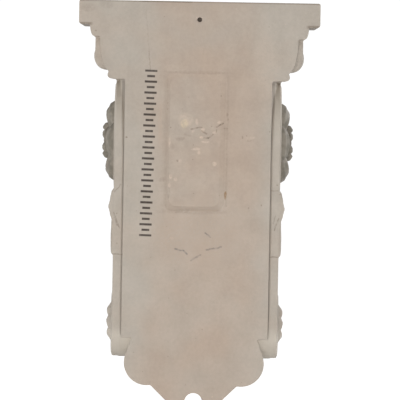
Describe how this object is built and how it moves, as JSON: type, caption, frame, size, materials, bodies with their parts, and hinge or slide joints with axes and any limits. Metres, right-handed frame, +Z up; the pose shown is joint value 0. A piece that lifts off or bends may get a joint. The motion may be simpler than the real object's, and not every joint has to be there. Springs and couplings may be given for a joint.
{
  "type": "corbel",
  "caption": "Scrolled wall corbel with a flat back: a moulded square cap over an S-shaped bracket with scrolled cheeks, an acanthus leaf on the front and a lobed leaf below.",
  "frame": {"origin": "on the flat back, on the centre line, 24 mm below the top of the cap", "axes": "+Z up, +Y out of the back into the wall, so the carved front faces -Y; +X is to the right as the front is seen"},
  "size_m": [0.13, 0.086, 0.2186],
  "materials": {
    "cast_resin": "unpainted cast urethane, matt, slightly mottled"
  },
  "bodies": {
    "root": {"corbel": "cast_resin"}
  },
  "joints": []
}
